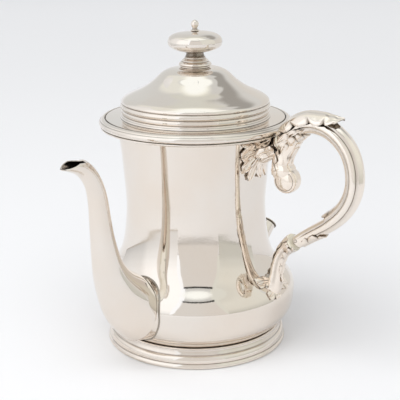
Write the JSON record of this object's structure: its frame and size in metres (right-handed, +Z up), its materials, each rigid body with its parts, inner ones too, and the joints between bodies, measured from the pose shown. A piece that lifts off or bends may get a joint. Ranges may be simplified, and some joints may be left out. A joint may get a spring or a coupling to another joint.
{
  "type": "coffee pot",
  "caption": "Jacketed silver coffee pot: waisted body on a stepped foot, swan-neck spout, scroll handle square to it, short rear filler and a lift-off domed lid with a mushroom knob.",
  "frame": {"origin": "centre of the foot ring, on the ground", "axes": "+Z up; +X along the main spout; +Y along the handle; -X along the rear filler"},
  "size_m": [0.2327, 0.2043, 0.2297],
  "materials": {
    "silver_bright": "hand-polished silver with fine scratches and a faint warm tone",
    "silver_cast": "polished cast silver, darker in its recesses",
    "silver_plain": "dull unpolished silver sheet",
    "solder": "satin solder line",
    "bone_white": "smooth cream heat-insulating washer"
  },
  "bodies": {
    "pot": {"belly_shell": "silver_bright", "neck_shell": "silver_bright", "bottom_plate": "silver_plain", "foot_ring": "silver_bright", "rim_moulding": "silver_bright", "rim_seat": "silver_plain", "inner_liner": "silver_plain", "transfer_tube": "silver_plain", "strainer_plate": "silver_plain", "spout_body": "silver_bright", "spout_root_bead": "solder", "filler_spout": "silver_bright", "filler_root_bead": "solder", "upper_root_leaf": "silver_cast", "upper_socket": "silver_cast", "upper_washer": "bone_white", "upper_tenon": "silver_plain", "upper_pin": "silver_cast", "handle_grip": "silver_cast", "handle_scroll": "silver_cast", "scroll_volute": "silver_cast", "scroll_leaf": "silver_cast", "grip_top_leaf": "silver_cast", "grip_tail_leaf": "silver_cast", "lower_pin": "silver_cast", "lower_tenon": "silver_plain", "lower_washer": "bone_white", "lower_socket": "silver_cast", "lower_socket_leaf": "silver_cast", "lower_root_leaf": "silver_cast"},
    "lid": {"lid_cover": "silver_bright", "lid_flange": "silver_bright", "lid_bezel": "silver_plain", "knob_collar": "silver_bright", "knob_lower": "silver_bright", "knob_upper": "silver_bright", "knob_finial": "silver_bright", "knob_stud": "silver_plain", "knob_washer": "silver_plain", "knob_nut": "silver_plain"}
  },
  "joints": [
    {"name": "lid_lift", "type": "slide", "parent": "pot", "child": "lid", "axis": [0, 0, 1], "range_m": [0, 0.09]}
  ]
}
